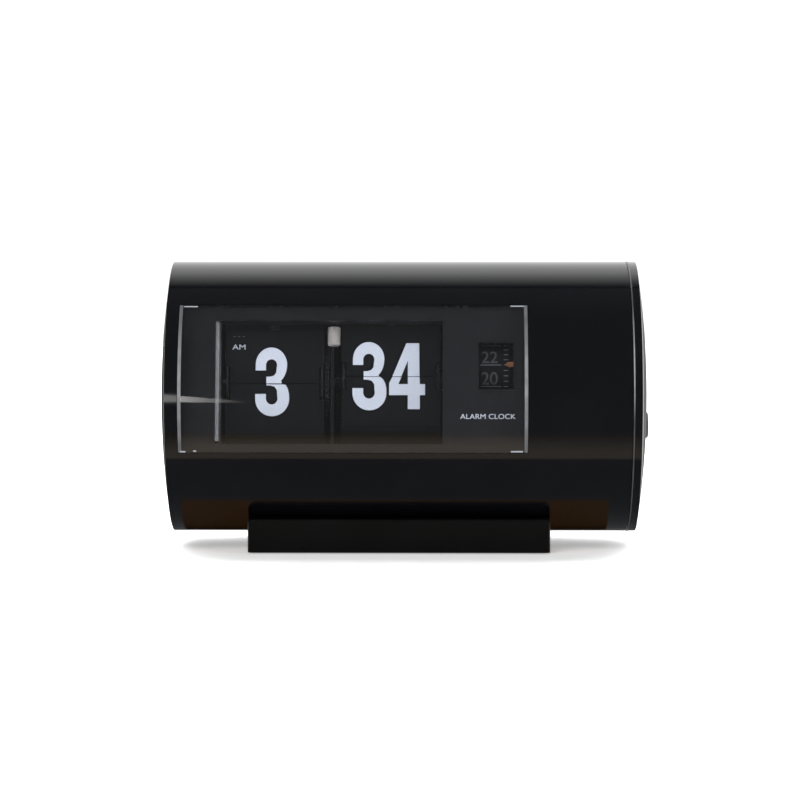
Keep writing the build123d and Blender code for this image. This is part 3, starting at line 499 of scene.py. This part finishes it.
minute_prints = [
    ("digit_minute_tens_top", three_top(), LEFT_3, held_minute, "minute_flip"),
    ("digit_minute_ones_top", four_top(), RIGHT_4, held_minute, "minute_flip"),
    ("digit_minute_tens_bottom", three_bottom(), LEFT_3, hanging_minute, "minute_pack"),
    ("digit_minute_ones_bottom", four_bottom(), RIGHT_4, hanging_minute, "minute_pack"),
    ("digit_next_minute_tens_top", three_top(CLEAR), LEFT_3, next_minute, "minute_pack"),
    ("digit_next_minute_ones_top", five_top(CLEAR), RIGHT_4, next_minute, "minute_pack"),
    ("digit_next_minute_tens_bottom", three_bottom(), LEFT_3, held_minute_back, "minute_flip"),
    ("digit_next_minute_ones_bottom", five_bottom(), RIGHT_4, held_minute_back, "minute_flip"),
]
hour_prints = [
    ("digit_hour_top", raised(three_top(), HOUR_RISE), HOUR_3, held_hour, "hour_flip"),
    ("digit_hour_bottom", raised(three_bottom(), HOUR_RISE), HOUR_3, hanging_hour, "hour_pack"),
    ("digit_next_hour_top", four_top(CLEAR), HOUR_3, next_hour, "hour_pack"),
    ("digit_next_hour_bottom", four_bottom(), HOUR_3, held_hour_back, "hour_flip"),
]
for prints, split, half_thick in ((minute_prints, MINUTE_SPLIT, MINUTE_HALF),
                                  (hour_prints, HOUR_SPLIT, HOUR_HALF)):
    for name, outline, x, leaf, body in prints:
        rise = split if leaf[3] else -split
        print_half(name, outline, x, rise, leaf, half_thick, body)


# ---------------------------------------------------------------- small lettering
SIZE_PER_CAPITAL = 1.37          # text size over the height of its capitals


def lettering(words, height, bold=0.0, stretch=1.0):
    """Generic lettering as a flat mesh, its lower left corner at the origin, in millimetres."""
    text = bpy.data.curves.new(words, "FONT")
    text.body = words
    text.size = height * SIZE_PER_CAPITAL
    text.offset = bold
    text.extrude = PRINT_DEPTH
    mesh = curve_mesh(text)
    mesh.transform(Matrix.Diagonal((stretch, 1, 1, 1)))
    return mesh


def place_words(name, words, matrix, x, z, height, ink, body, slot, **style):
    mesh = lettering(words, height, **style)
    mesh.transform(matrix @ Matrix.Translation((x, 0, z)))
    return piece(name, mesh, ink, body)


def leaf_front(leaf, half_thick):
    return leaf_side(*leaf[:3]) @ Matrix.Translation((0, -(half_thick + LIFT), 0))


place_words("words_am", "AM", leaf_front(held_hour, HOUR_HALF), -56.3, 10.1, 1.8, WHITE_INK,
            "hour_flip", "leaf_black", stretch=1.3)
place_words("words_am_next", "AM", leaf_front(next_hour, HOUR_HALF), -56.3, 10.1, 1.8, WHITE_INK,
            "hour_pack", "leaf_black", stretch=1.3)
place_words("words_dashes", "- - -", leaf_front(held_hour, HOUR_HALF), -56.0, 14.0, 1.7, GREY_INK,
            "hour_flip", "leaf_black", stretch=1.1)

MASK_FRONT = 36.6
MASK_FACE = MOVEMENT @ Matrix.Translation((0, -MASK_FRONT - 2 * PRINT_DEPTH, 0))
place_words("words_alarm", "ALARM CLOCK", MASK_FACE, 20.6, -13.1, 1.75, WHITE_INK, "case",
            "mask_grey", stretch=1.12)

# ---------------------------------------------------------------- window edges, with painted highlights
WINDOW_LEFT, WINDOW_RIGHT, WINDOW_HALF = -73.15, 42.95, 24.8
TRIM_T = 0.05                    # thickness of the strips that lie on the case
EDGE_W, GLINT_HALF = 1.1, 0.22   # width of a side edge, and half the width of a corner glint


def sleeve(build, rows, name):
    """A closed solid through rows of four corners, as a mesh."""
    for low, high in zip(rows, rows[1:]):
        for side in range(4):
            after = (side + 1) % 4
            build.faces.new((low[side], low[after], high[after], high[side]))
    build.faces.new(list(reversed(rows[0])))
    build.faces.new(rows[-1])
    mesh = bpy.data.meshes.new(name)
    build.to_mesh(mesh)
    build.free()
    return mesh


def skin(x0, x1, z0, z1, radius, steps=24):
    """A thin strip lying on the case's front, between x0 and x1 and heights z0 and z1."""
    build = bmesh.new()
    rows = []
    for step in range(steps + 1):
        z = z0 + (z1 - z0) * step / steps
        row = []
        for x, r in ((x0, radius), (x1, radius), (x1, radius - TRIM_T), (x0, radius - TRIM_T)):
            row.append(build.verts.new(at(x, -(r * r - z * z) ** 0.5, z)))
        rows.append(row)
    return sleeve(build, rows, "skin")


# strips on the window's side edges that carry a painted highlight
strips = [skin(x0, x0 + EDGE_W, -WINDOW_HALF, WINDOW_HALF, CASE_R + TRIM_T)
          for x0 in (WINDOW_LEFT, WINDOW_RIGHT - EDGE_W)]
piece("window_side_edges", joined(strips), WINDOW_EDGE_HIGHLIGHT, "case")

# short strips of bright paint at the window's corners: painted glints
glints = []
for x0, x1, z in ((WINDOW_LEFT + 1.4, WINDOW_LEFT + 6.0, 24.3),
                  (WINDOW_RIGHT - 5.6, WINDOW_RIGHT - 1.0, 24.5),
                  (WINDOW_RIGHT - 5.6, WINDOW_RIGHT - 1.6, -24.5),
                  (WINDOW_LEFT + 0.6, WINDOW_LEFT + 2.4, -24.6),
                  (WINDOW_LEFT + 5.0, WINDOW_LEFT + 6.0, -24.4)):
    glints.append(skin(x0, x1, z - GLINT_HALF, z + GLINT_HALF, CASE_R + 0.06, 2))
piece("window_corner_glints", joined(glints), CORNER_GLINT_PAINT, "case")

# ---------------------------------------------------------------- alarm drum scale
ALARM_Y, ALARM_Z, ALARM_R = -19.5, 5.0, 13.9


def wrap_on_drum(mesh, height):
    """Bend a flat print, (x, 0, z) in millimetres, round the alarm drum at its place."""
    for vertex in mesh.vertices:
        turn = vertex.co.z / ALARM_R
        radius = ALARM_R + height - vertex.co.y
        vertex.co = (vertex.co.x, ALARM_Y - radius * cos(turn), ALARM_Z + radius * sin(turn))
    mesh.transform(MOVEMENT)
    return mesh


def bar(x0, x1, z0, z1, steps=1):
    """A thin flat bar facing -Y, in millimetres, cut in steps along z so that it can bend."""
    build = bmesh.new()
    rows = []
    for step in range(steps + 1):
        z = z0 + (z1 - z0) * step / steps
        rows.append([build.verts.new((x, y, z)) for x, y in
                     ((x0, -PRINT_DEPTH), (x1, -PRINT_DEPTH), (x1, PRINT_DEPTH),
                      (x0, PRINT_DEPTH))])
    return sleeve(build, rows, "bar")


HOUR_STEP = 2 * pi * ALARM_R / 12    # each of the 12 long marks stands for two hours
scale_marks = []
for hour in range(12):
    base = hour * HOUR_STEP + 0.6
    scale_marks.append(bar(27.4, 34.4, base - 0.14, base + 0.14))
    for quarter in (0, 0.25, 0.5, 0.75):
        z = base + (quarter - 1) * HOUR_STEP
        scale_marks.append(bar(35.2, 36.7, z - 0.13, z + 0.13))
scale = joined(scale_marks)
piece("alarm_scale_marks", wrap_on_drum(scale, 0.03), GREY_INK, "alarm_drum")

numbers = []
for hour in range(12):
    mesh = lettering(str(2 * ((hour + 9) % 12) + 2), 4.4, bold=0.05, stretch=0.95)
    mesh.transform(Matrix.Translation((27.6, 0, hour * HOUR_STEP - 6.0)))
    numbers.append(mesh)
digits = joined(numbers)
piece("alarm_scale_numbers", wrap_on_drum(digits, 0.03), DIM_INK, "alarm_drum")

# ---------------------------------------------------------------- the cap's rim beside the seam: a thin ring with a painted highlight
rim = bmesh.new()
SEAM_X, RIM_STEPS = 77.95, 144
RIM_W = 0.45
corners = ((SEAM_X, CASE_R + TRIM_T), (SEAM_X + RIM_W, CASE_R + TRIM_T),
           (SEAM_X + RIM_W, CASE_R - TRIM_T), (SEAM_X, CASE_R - TRIM_T))
loops = []
for step in range(RIM_STEPS):
    turn = 2 * pi * step / RIM_STEPS
    loops.append([rim.verts.new((x * MM, r * cos(turn) * MM, (AXIS_Z + r * sin(turn)) * MM))
                  for x, r in corners])
for step in range(RIM_STEPS):
    near, far = loops[step], loops[(step + 1) % RIM_STEPS]
    for side in range(4):
        after = (side + 1) % 4
        rim.faces.new((near[side], near[after], far[after], far[side]))
bmesh.ops.recalc_face_normals(rim, faces=rim.faces)
rim_mesh = bpy.data.meshes.new("cap_rim_highlight")
rim.to_mesh(rim_mesh)
rim.free()
piece("cap_rim_highlight", rim_mesh, RIM_HIGHLIGHT, "case")

# ---------------------------------------------------------------- stage, lights, camera
scene = bpy.context.scene


def flat_sheet(name, corners, material):
    mesh = bpy.data.meshes.new(name)
    mesh.from_pydata(corners, [], [(0, 1, 2, 3)])
    mesh.materials.append(material)
    obj = bpy.data.objects.new(name, mesh)
    scene.collection.objects.link(obj)
    return obj


def glowing(name, colour, strength, fade=None):
    """An even glow, or one that fades along an axis: fade is (axis, full_at, gone_at, power)."""
    material, nodes, links, shader = new_material(name)
    shader.inputs["Base Color"].default_value = (0, 0, 0, 1)
    shader.inputs["Specular IOR Level"].default_value = 0
    shader.inputs["Emission Color"].default_value = (*colour, 1)
    shader.inputs["Emission Strength"].default_value = strength
    if fade:
        axis, full_at, gone_at, power = fade
        along = own_coordinate(nodes, links, axis)
        level = ramp(nodes, links, along, 1.0, 0.0, full_at, gone_at)
        curve = maths(nodes, links, "POWER", level, power)
        scaled = maths(nodes, links, "MULTIPLY", curve.outputs["Value"], strength)
        links.new(scaled.outputs["Value"], shader.inputs["Emission Strength"])
    return material


def seen_only_in_gloss(obj):
    obj.visible_camera = False
    obj.visible_diffuse = False
    obj.visible_transmission = False
    obj.visible_shadow = False


floor_paint = moulded("floor_pale", (0.82, 0.82, 0.82), (0.86, 0.86, 0.86), (0.6, 0.7))
floor_inputs = floor_paint.node_tree.nodes["Principled BSDF"].inputs
floor_inputs["Emission Color"].default_value = (1, 1, 1, 1)
floor_inputs["Emission Strength"].default_value = 0.35
floor = flat_sheet("floor", [(-6, -4, 0), (6, -4, 0), (6, 6, 0), (-6, 6, 0)], floor_paint)
floor.visible_glossy = False
flat_sheet("backdrop", [(-6, 1.6, -0.5), (6, 1.6, -0.5), (6, 1.6, 5), (-6, 1.6, 5)],
           glowing("backdrop_white", (1, 1, 1), 1.15, ("Z", 1.8, 4.8, 1.5)))

# cards that only show as reflections: warm table tones low down, and one thin pale streak
reflected = [
    ("card_table_edge", [(-0.4, -0.123, 0.001), (0.4, -0.123, 0.001), (0.4, -0.069, 0.001),
                         (-0.4, -0.069, 0.001)],
     glowing("glow_table_edge", (1.0, 0.84, 0.64), 0.52, ("Y", -0.078, -0.150, 1.6))),
    ("card_under_case", [(-0.0745, -0.031, 0.0005), (0.0715, -0.031, 0.0005),
                         (0.0715, 0.004, 0.0005), (-0.0745, 0.004, 0.0005)],
     glowing("glow_under_case", (1.0, 0.47, 0.14), 0.26, ("Y", -0.029, 0.005, 1.6))),
    ("card_streak", [(-0.105, -0.245, 0.048), (-0.058, -0.245, 0.044), (-0.058, -0.245, 0.046),
                     (-0.105, -0.245, 0.078)],
     glowing("glow_streak", (1.0, 0.98, 0.96), 4.0, ("X", -0.090, -0.056, 1.8))),
]
for card_name, corners, glow in reflected:
    seen_only_in_gloss(flat_sheet(card_name, corners, glow))

world = bpy.data.worlds.new("studio")
scene.world = world
world.use_nodes = True
world.node_tree.nodes["Background"].inputs["Color"].default_value = (0.93, 0.96, 1.0, 1)
world.node_tree.nodes["Background"].inputs["Strength"].default_value = 0.12


def area(name, place, aim, size, power, colour=(1, 1, 1), gloss=True):
    light = bpy.data.lights.new(name, "AREA")
    light.shape = "RECTANGLE"
    light.size, light.size_y = size
    light.energy = power
    light.color = colour
    obj = bpy.data.objects.new(name, light)
    scene.collection.objects.link(obj)
    obj.location = place
    obj.rotation_euler = (Vector(aim) - Vector(place)).to_track_quat("-Z", "Y").to_euler()
    obj.visible_glossy = gloss
    return obj


area("overhead", (0, 0.35, 1.1), (0, 0, 0.05), (2.4, 0.9), 26.0, gloss=False)
area("floor_wash", (0, 1.0, 1.2), (0, 1.0, 0), (6.0, 1.2), 90.0, gloss=False)
area("front_fill", (-0.5, -1.3, 0.9), (0, 0, 0.05), (1.0, 0.8), 16.0, gloss=False)
area("side_fill", (1.2, -0.7, 0.6), (0, 0, 0.05), (0.6, 0.8), 6.0, gloss=False)

CAMERA_DISTANCE, CAMERA_RISE, CAMERA_X = 1.05, radians(3.5), 0.012
AIM = Vector((0.000069, 0, (AXIS_Z - 1.317) * MM))
camera_data = bpy.data.cameras.new("camera")
camera_data.sensor_width = 36.0
camera_data.lens = 136.6
camera_data.clip_end = 20
camera = bpy.data.objects.new("camera", camera_data)
scene.collection.objects.link(camera)
camera.location = (CAMERA_X, -CAMERA_DISTANCE * cos(CAMERA_RISE),
                   CAMERA_DISTANCE * sin(CAMERA_RISE) + AXIS_Z * MM)
camera.rotation_euler = (AIM - camera.location).to_track_quat("-Z", "Y").to_euler()
scene.camera = camera
scene.view_settings.view_transform = "Standard"
